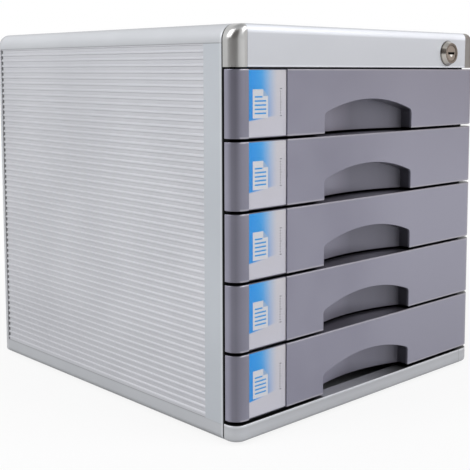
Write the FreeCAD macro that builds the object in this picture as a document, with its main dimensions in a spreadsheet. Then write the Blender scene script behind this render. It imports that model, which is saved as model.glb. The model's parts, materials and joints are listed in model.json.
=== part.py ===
import FreeCAD, Part
import math
import os
import Sketcher

# Desktop file drawer: a silver case with five plastic drawers and a lock.
# Every piece is drawn with x to the right from the middle, y back from the plane
# of the drawer fronts and z up from the underside of the case, then placed.

# Driving sizes in millimetres
SIZES = {
    # Case
    "case_width": 300.0,
    "case_height": 306.5,
    "body_depth": 332.6,
    "front_stand": 13.6,
    "cover_wall": 2.0,
    "bend_ease": 2.6,
    "panel_wall": 3.0,
    "top_corner_radius": 12.0,
    "base_corner_radius": 3.5,
    "plan_corner_radius": 10.0,
    "top_flange": 14.0,
    "base_flange": 12.4,
    "tongue_reach": 8.0,
    "edge_break": 0.7,
    "case_edge_radius": 1.8,
    # Side panel ribs
    "rib_pitch": 5.135,
    "rib_depth": 0.7,
    "rib_front_margin": 20.3,
    "first_groove_drop": 2.8,
    "panel_rear_gap": 1.0,
    # Rear frame and back
    "rear_frame_depth": 5.0,
    "window_inset": 16.0,
    "shoulder_depth": 8.0,
    "shoulder_wall": 3.0,
    "back_sheet": 1.5,
    "back_screw_inset": 12.0,
    # Feet
    "foot_height": 2.0,
    "foot_radius": 7.0,
    "foot_inset": 30.0,
    # Fascia and base lip
    "fascia_height": 31.1,
    "fascia_wall": 2.0,
    "fascia_edge_radius": 5.0,
    "fascia_gap": 0.7,
    "fascia_tongue": 10.0,
    "left_cap_width": 12.3,
    "right_cap_width": 16.9,
    "cap_seam": 0.2,
    "cap_peg": 7.0,
    "lip_height": 13.15,
    "lip_gap": 2.7,
    # Drawer fronts
    "drawer_gap": 2.1,
    "top_gap": 1.3,
    "reveal": 2.2,
    "scoop_half_width": 55.2,
    "scoop_shoulder": 15.7,
    "scoop_peak": 26.0,
    "scoop_depth": 21.0,
    "scoop_wall": 1.6,
    "scoop_corner_radius": 4.0,
    "mouth_radius": 0.6,
    # Label window and card
    "label_inset": 13.5,
    "label_width": 39.8,
    "label_recess": 1.6,
    "window_sheet": 1.1,
    "window_side_gap": 0.4,
    "card_sheet": 0.3,
    "card_margin": 0.8,
    # Drawer trays and their runners
    "runner_wall": 4.0,
    "runner_inset": 2.0,
    "ledge_width": 5.5,
    "ledge_thick": 2.0,
    "guide_thick": 2.5,
    "side_gap": 0.7,
    "flange_gap": 0.4,
    "run_gap": 0.3,
    "tray_wall": 1.8,
    "tray_lift": 2.0,
    "tray_drop": 5.0,
    "tray_rear_gap": 2.0,
    "tray_corner_radius": 6.0,
    "flange_thick": 2.0,
    "stop_length": 6.5,
    "stop_height": 3.0,
    "guide_length": 29.0,
    # Lock
    "lock_inset": 43.9,
    "lock_drop": 18.4,
    "bezel_stand": 4.5,
    "bezel_radius": 11.2,
    "bezel_nose_radius": 8.9,
    "plug_radius": 7.0,
    "plug_recess": 0.6,
    "key_slot_length": 9.8,
    "key_slot_height": 2.0,
    "key_slot_depth": 9.0,
    "shank_radius": 6.0,
    "housing_radius": 8.0,
    "housing_length": 21.0,
    "nut_radius": 9.5,
    "nut_thick": 3.5,
    "cam_thick": 2.5,
    "cam_boss_radius": 5.5,
    "cam_tip_radius": 3.0,
    "pin_throw": 8.0,
    "pin_radius": 1.5,
    "pin_proud": 1.0,
    "slot_play": 0.5,
    "bar_sheet": 1.6,
    "bar_width": 10.0,
    "bar_gap": 0.6,
    "arm_height": 8.0,
    "arm_margin": 4.0,
    "catch_height": 6.0,
    "catch_level": 25.0,
    "catch_offset": 3.6,
    "catch_thick": 3.0,
    "catch_reach": 4.7,
    "catch_foot_sheet": 1.2,
    "catch_foot_length": 14.0,
    # Screws
    "screw_radius": 1.5,
    "screw_head_radius": 3.0,
    "screw_head_thick": 1.8,
    "front_screw_offset": 100.0,
    "front_screw_bite": 6.0,
    "screw_tip": 1.0,
    # Clearances
    "fit_gap": 0.2,
    "turn_gap": 0.1,
    "overrun": 2.0,
}

DRAWER_COUNT = 5
GROOVE_SHARE = 0.5
CAM_START_ANGLE = -45.0
ROOT_HALF = math.sqrt(0.5)

# Sizes and places that follow from the driving sizes
DERIVED = {
    "half_width": "dims.case_width / 2",
    "front_y": "dims.bezel_stand - (dims.body_depth + dims.bezel_stand) / 2",
    "frame_front": "dims.body_depth - dims.rear_frame_depth",
    "cover_length": "frame_front - dims.front_stand",
    "top_seam": "dims.case_height - dims.top_flange",
    "panel_inner": "half_width - dims.panel_wall",
    "runner_outer": "panel_inner - dims.cover_wall",
    "runner_inner": "runner_outer - dims.runner_wall",
    "ledge_tip": "runner_inner - dims.ledge_width",
    "runner_front": "dims.front_stand + dims.runner_inset",
    "shoulder_front": "frame_front - dims.shoulder_depth",
    "runner_rear": "shoulder_front - dims.fit_gap",
    "runner_low": "2 * dims.cover_wall",
    "runner_high": "dims.case_height - dims.top_corner_radius / 2",
    "fascia_bottom": "dims.case_height - dims.fascia_height",
    "fascia_rear": "dims.front_stand - dims.fascia_gap",
    "tongue_rear": "dims.front_stand + dims.fascia_tongue",
    "fascia_left": "half_width - dims.left_cap_width",
    "fascia_right": "half_width - dims.right_cap_width",
    "stack_top": "fascia_bottom - dims.top_gap + dims.drawer_gap",
    "drawer_pitch": "(stack_top - dims.lip_height - dims.lip_gap) / %d" % DRAWER_COUNT,
    "front_height": "drawer_pitch - dims.drawer_gap",
    "front_thick": "dims.front_stand - dims.reveal",
    "scoop_sag": "dims.scoop_depth - front_thick",
    "scoop_rise": "dims.scoop_peak - dims.scoop_shoulder",
    "scoop_back_radius": "(dims.scoop_half_width ^ 2 + scoop_sag ^ 2) / (2 * scoop_sag)",
    "scoop_top_radius": "(dims.scoop_half_width ^ 2 + scoop_rise ^ 2) / (2 * scoop_rise)",
    "scoop_centre_y": "dims.scoop_depth - scoop_back_radius",
    "label_left": "dims.label_inset - half_width",
    "tray_rear": "frame_front - dims.back_sheet - dims.tray_rear_gap",
    "tray_half": "ledge_tip - dims.side_gap",
    "flange_half": "runner_inner - dims.flange_gap",
    "tray_top": "front_height - dims.tray_drop",
    "flange_bottom": "tray_top - dims.flange_thick",
    "ledge_top": "flange_bottom - dims.run_gap",
    "guide_bottom": "tray_top + dims.run_gap",
    "flange_rear": "tray_rear - dims.tray_corner_radius",
    "stop_front": "flange_rear - dims.stop_length",
    "guide_rear": "runner_front + dims.guide_length",
    "lock_x": "half_width - dims.lock_inset",
    "lock_z": "dims.case_height - dims.lock_drop",
    "cam_front": "dims.housing_length + dims.turn_gap",
    "cam_rear": "cam_front + dims.cam_thick",
    "bar_front": "cam_rear + dims.bar_gap",
    "bar_back": "bar_front + dims.bar_sheet",
    "bar_stroke": "2 * dims.pin_throw * %.9f" % ROOT_HALF,
    "arm_level": "lock_z - bar_stroke / 2",
    "bar_outer": "runner_inner + dims.run_gap + dims.bar_sheet",
    "bar_inner": "runner_inner + dims.run_gap",
    "tab_level": "dims.catch_level - bar_stroke",
    "tab_front": "bar_front + dims.catch_offset",
    "tab_rear": "tab_front + dims.catch_thick",
    "catch_tip": "tray_half + dims.catch_reach",
}

doc = FreeCAD.newDocument("file_drawer")
dims = doc.addObject("Spreadsheet::Sheet", "dims")
for row, (alias, number) in enumerate(SIZES.items(), start=1):
    dims.set("A%d" % row, alias)
    dims.set("B%d" % row, str(number))
    dims.setAlias("B%d" % row, alias)
doc.recompute()

places = doc.addObject("Spreadsheet::Sheet", "places")
for row, (alias, formula) in enumerate(DERIVED.items(), start=1):
    places.set("A%d" % row, alias)
    places.set("B%d" % row, "=" + formula)
    places.setAlias("B%d" % row, alias)
doc.recompute()

PARTS = []


def value(expression):
    """Number that an expression over the sheets comes to."""
    return float(dims.evalExpression(expression))


def bind(thing, **expressions):
    """Bind properties to expressions. A double underscore stands for a dot."""
    for name, expression in expressions.items():
        thing.setExpression(name.replace("__", "."), expression)


def move(thing, x="0", y="0", z="0"):
    bind(thing, Placement__Base__x=x, Placement__Base__y=y, Placement__Base__z=z)


def finish(thing, label, level="0"):
    """Name a sub-part and set it into the cabinet, raised by its level."""
    thing.Label = label
    move(thing, y="places.front_y", z="dims.foot_height + (%s)" % level)
    PARTS.append(thing)
    return thing


def box(name, x, y, z):
    """Block between two expressions along each axis."""
    block = doc.addObject("Part::Box", name)
    bind(
        block,
        Length="(%s) - (%s)" % (x[1], x[0]),
        Width="(%s) - (%s)" % (y[1], y[0]),
        Height="(%s) - (%s)" % (z[1], z[0]),
    )
    move(block, x[0], y[0], z[0])
    return block


def rod(name, radius, x, y, z):
    """Cylinder along y, from y[0] to y[1], about the point x, z."""
    cylinder = doc.addObject("Part::Cylinder", name)
    bind(cylinder, Radius=radius, Height="(%s) - (%s)" % (y[1], y[0]))
    cylinder.Placement.Rotation = FreeCAD.Rotation(FreeCAD.Vector(1, 0, 0), -90)
    move(cylinder, x, y[0], z)
    return cylinder


def post(name, radius, x, y, z):
    """Cylinder along z, from z[0] to z[1], about the point x, y."""
    cylinder = doc.addObject("Part::Cylinder", name)
    bind(cylinder, Radius=radius, Height="(%s) - (%s)" % (z[1], z[0]))
    move(cylinder, x, y, z[0])
    return cylinder


def cut(name, base, tool):
    result = doc.addObject("Part::Cut", name)
    result.Base = base
    result.Tool = tool
    return result


def join(name, shapes):
    result = doc.addObject("Part::MultiFuse", name)
    result.Shapes = shapes
    result.Refine = True
    return result


def group(name, shapes):
    """Several separate solids kept as one node."""
    result = doc.addObject("Part::Compound", name)
    result.Links = shapes
    return result


def common(name, shapes):
    result = doc.addObject("Part::MultiCommon", name)
    result.Shapes = shapes
    return result


def edge_numbers(shape, axis, **at):
    """Straight edges along one axis whose middle lies at the given coordinates."""
    found = []
    for number, edge in enumerate(shape.Edges, start=1):
        if edge.Curve.TypeId != "Part::GeomLine":
            continue
        run = edge.Vertexes[-1].Point - edge.Vertexes[0].Point
        if abs(abs(getattr(run, axis)) - run.Length) > TOLERANCE:
            continue
        middle = edge.CenterOfMass
        if all(abs(getattr(middle, key) - place) < TOLERANCE for key, place in at.items()):
            found.append(number)
    return found


def round_edges(name, base, radius, *searches):
    """Fillet of one radius on the edges that the searches find."""
    doc.recompute()
    numbers = []
    for axis, at in searches:
        numbers += edge_numbers(base.Shape, axis, **at)
    if not numbers:
        raise RuntimeError("no edge to round for " + name)
    result = doc.addObject("Part::Fillet", name)
    result.Base = base
    size = value(radius)
    result.Edges = [(number, size, size) for number in numbers]
    return result


def outline(body, name, plane, points, start="0"):
    """Closed sketch through points given as expressions, on one of the body's planes."""
    support = [item for item in body.Origin.OriginFeatures if item.Role == plane][0]
    sketch = body.newObject("Sketcher::SketchObject", name)
    sketch.AttachmentSupport = [(support, "")]
    sketch.MapMode = "FlatFace"
    offset = "-(%s)" % start if plane == "XZ_Plane" else start
    bind(sketch, AttachmentOffset__Base__z=offset)
    corners = [FreeCAD.Vector(value(across), value(up), 0) for across, up in points]
    for number, corner in enumerate(corners):
        following = corners[(number + 1) % len(corners)]
        sketch.addGeometry(Part.LineSegment(corner, following))
    for number, (across, up) in enumerate(points):
        following = (number + 1) % len(points)
        sketch.addConstraint(Sketcher.Constraint("Coincident", number, 2, following, 1))
        for kind, expression in (("DistanceX", across), ("DistanceY", up)):
            rule = Sketcher.Constraint(kind, -1, 1, number, 1, value(expression))
            index = sketch.addConstraint(rule)
            sketch.setExpression("Constraints[%d]" % index, expression)
    return sketch


def pad(body, name, sketch, length, backwards=False):
    feature = body.newObject("PartDesign::Pad", name)
    feature.Profile = sketch
    feature.Reversed = backwards
    bind(feature, Length=length)
    sketch.Visibility = False
    return feature


def body_fillet(body, name, base, radius, *searches):
    doc.recompute()
    names = []
    for axis, at in searches:
        names += ["Edge%d" % number for number in edge_numbers(base.Shape, axis, **at)]
    if not names:
        raise RuntimeError("no edge to round for " + name)
    feature = body.newObject("PartDesign::Fillet", name)
    feature.Base = (base, names)
    bind(feature, Radius=radius)
    return feature


TOLERANCE = 1e-4
HALF = "places.half_width"
SIGNS = {"left": "-1", "right": "1"}


def span(side, near, far):
    """Expressions from low to high x for a stretch measured out from the middle."""
    if side == "left":
        return ("-(%s)" % far, "-(%s)" % near)
    return (near, far)


# Covers

def cover(label, seam, skin, radius, hand):
    """Sheet shell with short flanges, and a tongue beyond each seam that backs the side panel.

    skin is the outer level, seam the level of the seam, and hand is 1 where the
    tongue reaches up and -1 where it reaches down.
    """
    body = doc.addObject("PartDesign::Body", label)
    inner = "(%s) + (%s) * dims.cover_wall" % (skin, hand)
    fold = "(%s) - (%s) * dims.cover_wall" % (seam, hand)
    tip = "(%s) + (%s) * dims.tongue_reach" % (seam, hand)
    right = [
        (HALF, skin),
        (HALF, seam),
        ("places.panel_inner", seam),
        ("places.panel_inner", tip),
        ("places.runner_outer", tip),
        ("places.runner_outer", fold),
        (HALF + " - dims.cover_wall", fold),
        (HALF + " - dims.cover_wall", inner),
    ]
    left = [("-(%s)" % across, up) for across, up in reversed(right)]
    sketch = outline(body, label + "_outline", "XZ_Plane", right + left, "dims.front_stand")
    shell = pad(body, label + "_shell", sketch, "places.cover_length", backwards=True)
    outer = [("y", {"x": sign * value(HALF), "z": value(skin)}) for sign in (-1, 1)]
    bend = value(HALF + " - dims.cover_wall")
    inside = [("y", {"x": sign * bend, "z": value(inner)}) for sign in (-1, 1)]
    rounded = body_fillet(body, label + "_corners", shell, radius, *outer)
    bent = body_fillet(body, label + "_bends", rounded, radius + " - dims.bend_ease", *inside)
    front_edge = ("x", {"y": value("dims.front_stand"), "z": value(skin)})
    body_fillet(body, label + "_front_edge", bent, "dims.case_edge_radius", front_edge)
    return finish(body, label)


cover("top_cover", "places.top_seam", "dims.case_height", "dims.top_corner_radius", "-1")
cover("bottom_cover", "dims.base_flange", "0", "dims.base_corner_radius", "1")


# Side panels

def side_panel(side):
    """Panel with level grooves between ribs, and a plain strip along its front edge."""
    label = side + "_side_panel"
    sign = SIGNS[side]
    body = doc.addObject("PartDesign::Body", label)
    face = "%s * %s" % (sign, HALF)
    back = "%s * places.panel_inner" % sign
    low, high = "dims.base_flange", "places.top_seam"
    plate = outline(
        body, label + "_outline", "XZ_Plane",
        [(face, low), (back, low), (back, high), (face, high)], "dims.front_stand",
    )
    length = "places.cover_length - dims.panel_rear_gap"
    slab = pad(body, label + "_plate", plate, length, backwards=True)
    front_edge = ("z", {"x": value(face), "y": value("dims.front_stand")})
    body_fillet(body, label + "_front_edge", slab, "dims.case_edge_radius", front_edge)
    floor = "%s * (%s - dims.rib_depth)" % (sign, HALF)
    proud = "%s * (%s + dims.rib_depth)" % (sign, HALF)
    top = "places.top_seam - dims.first_groove_drop"
    half_groove = "dims.rib_pitch * %s / 2" % GROOVE_SHARE
    groove = outline(
        body, label + "_groove_outline", "XZ_Plane",
        [
            (proud, "%s + %s + 2 * dims.rib_depth" % (top, half_groove)),
            (floor, "%s + %s" % (top, half_groove)),
            (floor, "%s - %s" % (top, half_groove)),
            (proud, "%s - %s - 2 * dims.rib_depth" % (top, half_groove)),
        ],
        "dims.front_stand + dims.rib_front_margin",
    )
    doc.recompute()
    pocket = body.newObject("PartDesign::Pocket", label + "_groove")
    pocket.Profile = groove
    pocket.Type = "ThroughAll"
    doc.recompute()
    rows = body.newObject("PartDesign::LinearPattern", label + "_grooves")
    rows.Originals = [pocket]
    rows.Direction = (groove, ["V_Axis"])
    rows.Reversed = True
    ribbed = "(places.top_seam - dims.base_flange - 2 * dims.first_groove_drop)"
    steps = "floor(%s / dims.rib_pitch)" % ribbed
    bind(rows, Occurrences=steps + " + 1", Length="dims.rib_pitch * " + steps)
    body.Tip = rows
    return finish(body, label)


for side in SIGNS:
    side_panel(side)


# Rear frame, back panel and their screws

SCREW_COLUMNS = ("-1", "0", "1")
SCREW_ROWS = ("low", "middle", "high")
screw_level = {
    "low": "dims.back_screw_inset",
    "middle": "dims.case_height / 2",
    "high": "dims.case_height - dims.back_screw_inset",
}
back_screw_places = [
    ("%s * (%s - dims.back_screw_inset)" % (column, HALF), screw_level[row])
    for column in SCREW_COLUMNS
    for row in SCREW_ROWS
    if not (column == "0" and row == "middle")
]


def rounded_plate(name, x, y, z, low_radius, high_radius):
    """Block whose four edges along y are rounded, the low pair and the high pair apart."""
    block = box(name + "_block", x, y, z)
    ends = [value(x[0]), value(x[1])]
    low = [("y", {"x": end, "z": value(z[0])}) for end in ends]
    high = [("y", {"x": end, "z": value(z[1])}) for end in ends]
    lower = round_edges(name + "_low", block, low_radius, *low)
    return round_edges(name + "_high", lower, high_radius, *high)


def rear_frame():
    """Ring that closes the back of the shell, with a shoulder inside it."""
    ring = rounded_plate(
        "frame_ring", ("-" + HALF, HALF), ("places.frame_front", "dims.body_depth"),
        ("0", "dims.case_height"), "dims.base_corner_radius", "dims.top_corner_radius",
    )
    doc.recompute()
    rear_edge = ("x", {"y": value("dims.body_depth"), "z": value("dims.case_height")})
    ring_eased = round_edges("frame_ring_eased", ring, "dims.case_edge_radius", rear_edge)
    reach = "places.runner_outer - dims.fit_gap"
    rim = "dims.cover_wall + dims.fit_gap"
    bend = "dims.top_corner_radius - dims.cover_wall"
    shoulder = rounded_plate(
        "frame_shoulder", ("-(%s)" % reach, reach),
        ("places.shoulder_front", "places.frame_front"),
        (rim, "dims.case_height - (%s)" % rim), bend, bend,
    )
    inner_reach = "(%s) - dims.shoulder_wall" % reach
    inner_rim = "(%s) + dims.shoulder_wall" % rim
    hollow = box(
        "frame_hollow", ("-(%s)" % inner_reach, inner_reach),
        ("places.shoulder_front - dims.overrun", "places.frame_front"),
        (inner_rim, "dims.case_height - (%s)" % inner_rim),
    )
    corners = [
        ("y", {"x": sign * value(inner_reach), "z": value(level)})
        for sign in (-1, 1)
        for level in (inner_rim, "dims.case_height - (%s)" % inner_rim)
    ]
    hollow_round = round_edges("frame_hollow_round", hollow, "%s - dims.shoulder_wall" % bend, *corners)
    window_x = HALF + " - dims.window_inset"
    window = box(
        "frame_window", ("-(%s)" % window_x, window_x),
        ("places.frame_front - dims.overrun", "dims.body_depth + dims.overrun"),
        ("dims.window_inset", "dims.case_height - dims.window_inset"),
    )
    holes = []
    for number, (x, z) in enumerate(back_screw_places):
        through = ("places.frame_front - dims.overrun", "dims.body_depth + dims.overrun")
        sunk = ("dims.body_depth - dims.screw_head_thick - dims.fit_gap", through[1])
        holes.append(rod("frame_hole_%d" % number, "dims.screw_radius + dims.fit_gap", x, through, z))
        holes.append(rod("frame_sink_%d" % number, "dims.screw_head_radius + dims.fit_gap", x, sunk, z))
    shell = join("frame_solid", [ring_eased, shoulder])
    tools = join("frame_tools", [hollow_round, window] + holes)
    return finish(cut("rear_frame", shell, tools), "rear_frame")


def back_panel():
    """Flat sheet against the front of the ring, inside the shoulder."""
    reach = "places.runner_outer - dims.shoulder_wall - 3 * dims.fit_gap"
    rim = "dims.cover_wall + dims.shoulder_wall + 3 * dims.fit_gap"
    bend = "dims.top_corner_radius - dims.cover_wall - dims.shoulder_wall"
    depth = ("places.frame_front - dims.back_sheet", "places.frame_front")
    sheet = rounded_plate(
        "back_sheet_blank", ("-(%s)" % reach, reach), depth,
        (rim, "dims.case_height - (%s)" % rim), bend, bend,
    )
    through = (depth[0] + " - dims.overrun", depth[1] + " + dims.overrun")
    holes = [
        rod("back_hole_%d" % number, "dims.screw_radius + dims.fit_gap", x, through, z)
        for number, (x, z) in enumerate(back_screw_places)
    ]
    return finish(cut("back_panel", sheet, join("back_holes", holes)), "back_panel")


def screw(name, x, z, tip, seat, head_end):
    """Pan screw along y: shank from its tip to its seat, head beyond the seat."""
    low, high = (tip, seat), (seat, head_end)
    shank = rod(name + "_shank", "dims.screw_radius", x, low, z)
    head = rod(name + "_head", "dims.screw_head_radius", x, high, z)
    return join(name, [shank, head])


def back_screws():
    seat = "dims.body_depth - dims.screw_head_thick - dims.fit_gap"
    tip = "places.frame_front - dims.back_sheet - dims.screw_tip"
    screws = [
        screw("back_screw_%d" % number, x, z, tip, seat, "dims.body_depth - dims.fit_gap")
        for number, (x, z) in enumerate(back_screw_places)
    ]
    return finish(group("back_screws", screws), "back_screws")


rear_frame()
back_panel()
back_screws()


# Feet

def rubber_feet():
    feet = []
    for side, sign in SIGNS.items():
        x = "%s * (%s - dims.foot_inset)" % (sign, HALF)
        for end, y in (
            ("front", "dims.front_stand + dims.foot_inset"),
            ("rear", "dims.body_depth - dims.foot_inset"),
        ):
            name = "foot_%s_%s" % (side, end)
            feet.append(post(name, "dims.foot_radius", x, y, ("-dims.foot_height", "0")))
    return finish(group("rubber_feet", feet), "rubber_feet")


rubber_feet()


# Front fascia, its caps and the base lip

def front_fascia():
    """Hollow bar with a tongue under the top cover and a shelf over the drawers."""
    body = doc.addObject("PartDesign::Body", "front_fascia")
    top = "dims.case_height"
    low = "places.fascia_bottom"
    step = top + " - dims.cover_wall - dims.fit_gap"
    profile = [
        ("0", low),
        ("0", top),
        ("places.fascia_rear", top),
        ("places.fascia_rear", step),
        ("places.tongue_rear", step),
        ("places.tongue_rear", step + " - dims.fascia_wall"),
        ("dims.fascia_wall", step + " - dims.fascia_wall"),
        ("dims.fascia_wall", low + " + dims.fascia_wall"),
        ("places.tongue_rear", low + " + dims.fascia_wall"),
        ("places.tongue_rear", low),
    ]
    sketch = outline(body, "fascia_outline", "YZ_Plane", profile, "-places.fascia_left")
    bar = pad(body, "fascia_bar", sketch, "places.fascia_left + places.fascia_right")
    front_top = ("x", {"y": 0.0, "z": value(top)})
    rounded = body_fillet(body, "fascia_edge", bar, "dims.fascia_edge_radius", front_top)
    front_low = ("x", {"y": 0.0, "z": value(low)})
    eased = body_fillet(body, "fascia_low_edge", rounded, "dims.edge_break", front_low)
    support = [item for item in body.Origin.OriginFeatures if item.Role == "XZ_Plane"][0]
    hole = body.newObject("Sketcher::SketchObject", "fascia_hole_outline")
    hole.AttachmentSupport = [(support, "")]
    hole.MapMode = "FlatFace"
    centre = FreeCAD.Vector(value("places.lock_x"), value("places.lock_z"), 0)
    radius = "dims.housing_radius + dims.fit_gap"
    hole.addGeometry(Part.Circle(centre, FreeCAD.Vector(0, 0, 1), value(radius)))
    for kind, expression in (("DistanceX", "places.lock_x"), ("DistanceY", "places.lock_z")):
        index = hole.addConstraint(Sketcher.Constraint(kind, -1, 1, 0, 3, value(expression)))
        hole.setExpression("Constraints[%d]" % index, expression)
    index = hole.addConstraint(Sketcher.Constraint("Radius", 0, value(radius)))
    hole.setExpression("Constraints[%d]" % index, radius)
    doc.recompute()
    before = eased.Shape.Volume
    pocket = body.newObject("PartDesign::Pocket", "fascia_hole")
    pocket.Profile = hole
    bind(pocket, Length="dims.fascia_wall + dims.overrun")
    doc.recompute()
    if pocket.Shape.Volume >= before:
        raise RuntimeError("the lock hole cuts nothing")
    return finish(body, "front_fascia")


def fascia_cap(side):
    """Corner cap with a wide plan corner that eases into the finer top edge."""
    label = side + "_fascia_cap"
    outer, inner = HALF, "places.fascia_%s + dims.cap_seam" % side
    low, top = "places.fascia_bottom", "dims.case_height"
    x = span(side, inner, outer)
    block = box(label + "_block", x, ("0", "places.fascia_rear"), (low, top))
    edge_x = value(x[0]) if side == "left" else value(x[1])
    shoulder = ("y", {"x": edge_x, "z": value(top)})
    rounded = round_edges(label + "_shoulder", block, "dims.top_corner_radius", shoulder)
    doc.recompute()
    wide, fine = value("dims.plan_corner_radius"), value("dims.fascia_edge_radius")
    radii = []
    for number, edge in enumerate(rounded.Shape.Edges, start=1):
        middle = edge.CenterOfMass
        if abs(middle.y) > TOLERANCE:
            continue
        if edge.Curve.TypeId == "Part::GeomCircle":
            rising = edge.Vertexes[0].Point.z < edge.Vertexes[-1].Point.z
            radii.append((number, wide, fine) if rising else (number, fine, wide))
        elif abs(middle.x - edge_x) < TOLERANCE:
            radii.append((number, wide, wide))
        elif abs(middle.z - value(top)) < TOLERANCE:
            radii.append((number, fine, fine))
    corner = doc.addObject("Part::Fillet", label + "_corner")
    corner.Base = rounded
    corner.Edges = radii
    snug = "dims.fascia_wall + dims.fit_gap"
    step = top + " - dims.cover_wall - dims.fit_gap"
    peg = box(
        label + "_peg", span(side, inner + " - dims.cap_peg", inner + " + dims.cap_seam"),
        (snug, "places.fascia_rear"), (low + " + " + snug, "%s - (%s)" % (step, snug)),
    )
    return finish(join(label, [corner, peg]), label)


def base_front_lip():
    """Silver bar below the drawers, with the case's lower rounding all round, and a tongue."""
    ends = [value("-" + HALF), value(HALF)]
    block = box("lip_block", ("-" + HALF, HALF), ("0", "places.fascia_rear"), ("0", "dims.lip_height"))
    upright = [("z", {"x": end, "y": 0.0}) for end in ends]
    plan_round = round_edges("lip_plan_round", block, "dims.plan_corner_radius", *upright)
    low_edge = ("x", {"y": 0.0, "z": 0.0})
    lip = round_edges("lip_bar", plan_round, "dims.base_corner_radius", low_edge)
    doc.recompute()
    front_edge = ("x", {"y": 0.0, "z": value("dims.lip_height")})
    eased = round_edges("lip_bar_eased", lip, "dims.edge_break", front_edge)
    rest = "dims.cover_wall + dims.fit_gap"
    tongue = box(
        "lip_tongue", ("-places.fascia_right", "places.fascia_right"),
        ("places.fascia_rear - dims.overrun", "places.tongue_rear"),
        (rest, rest + " + dims.fascia_wall"),
    )
    return finish(join("base_front_lip", [eased, tongue]), "base_front_lip")


front_fascia()
for side in SIGNS:
    fascia_cap(side)
base_front_lip()


# Runner frames

def drawer_level(number):
    """Level of the underside of one drawer front, counted from the top."""
    return "places.stack_top - %d * places.drawer_pitch" % number


def runner_frame(side):
    """Upright plate with a ledge under each drawer flange and a short guide over its front."""
    label = side + "_runner_frame"
    depth = ("places.runner_front", "places.runner_rear")
    plate = box(
        label + "_plate", span(side, "places.runner_inner", "places.runner_outer"), depth,
        ("places.runner_low", "places.runner_high"),
    )
    pieces = [plate]
    for number in range(1, DRAWER_COUNT + 1):
        level = drawer_level(number)
        across = span(side, "places.ledge_tip", "places.runner_inner")
        top = "%s + places.ledge_top" % level
        ledge = (top + " - dims.ledge_thick", top)
        low = "%s + places.guide_bottom" % level
        guide = (low, low + " + dims.guide_thick")
        pieces.append(box("%s_ledge_%d" % (label, number), across, depth, ledge))
        reach = ("places.runner_front", "places.guide_rear")
        pieces.append(box("%s_guide_%d" % (label, number), across, reach, guide))
    frame = join(label + "_solid", pieces)
    if side == "right":
        low = "%s + places.tab_level - dims.catch_height" % drawer_level(DRAWER_COUNT)
        channel = box(
            label + "_channel",
            ("places.runner_inner", "places.bar_outer + dims.run_gap"),
            ("places.bar_front - dims.run_gap", "places.bar_front + dims.bar_width + dims.run_gap"),
            (low + " - dims.overrun", "places.runner_high + dims.overrun"),
        )
        frame = cut(label, frame, channel)
    return finish(frame, label)


for side in SIGNS:
    runner_frame(side)


# Drawers

def housing_column(name, growth):
    """Upright column with a curved back, which holds the finger recess."""
    half = "dims.scoop_half_width + dims.scoop_wall + " + growth
    drum = post(
        name + "_drum", "places.scoop_back_radius + dims.scoop_wall + " + growth,
        "0", "places.scoop_centre_y", ("0", "places.front_height"),
    )
    back = "dims.scoop_depth + dims.scoop_wall + dims.overrun"
    slab = box(
        name + "_slab", ("-(%s)" % half, half),
        ("places.front_thick / 2", back), ("0", "places.front_height"),
    )
    return common(name, [drum, slab])


def finger_recess(name):
    """Arched space with a curved back, open below and in front."""
    half = "dims.scoop_half_width"
    x = ("-" + half, half)
    depth = ("-dims.overrun", "dims.scoop_depth + dims.overrun")
    block = box(name + "_block", x, depth, ("-dims.overrun", "dims.scoop_peak"))
    arch = rod(
        name + "_arch", "places.scoop_top_radius", "0", depth,
        "dims.scoop_peak - places.scoop_top_radius",
    )
    tunnel = common(name + "_tunnel", [block, arch])
    doc.recompute()
    shoulder = value("dims.scoop_shoulder")
    corners = [("y", {"x": value(end), "z": shoulder}) for end in x]
    eased = round_edges(name + "_eased", tunnel, "dims.scoop_corner_radius", *corners)
    drum = post(
        name + "_drum", "places.scoop_back_radius", "0", "places.scoop_centre_y",
        ("-dims.overrun", "places.front_height"),
    )
    return common(name, [eased, drum])


def front_screw_places():
    height = "places.front_height / 2"
    return [("%s * dims.front_screw_offset" % sign, height) for sign in SIGNS.values()]


def screw_bores(name, depth):
    """Bores along y where the two screws of a front pass."""
    return [
        rod("%s_bore_%d" % (name, index), "dims.screw_radius + dims.fit_gap", x, depth, z)
        for index, (x, z) in enumerate(front_screw_places())
    ]


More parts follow.
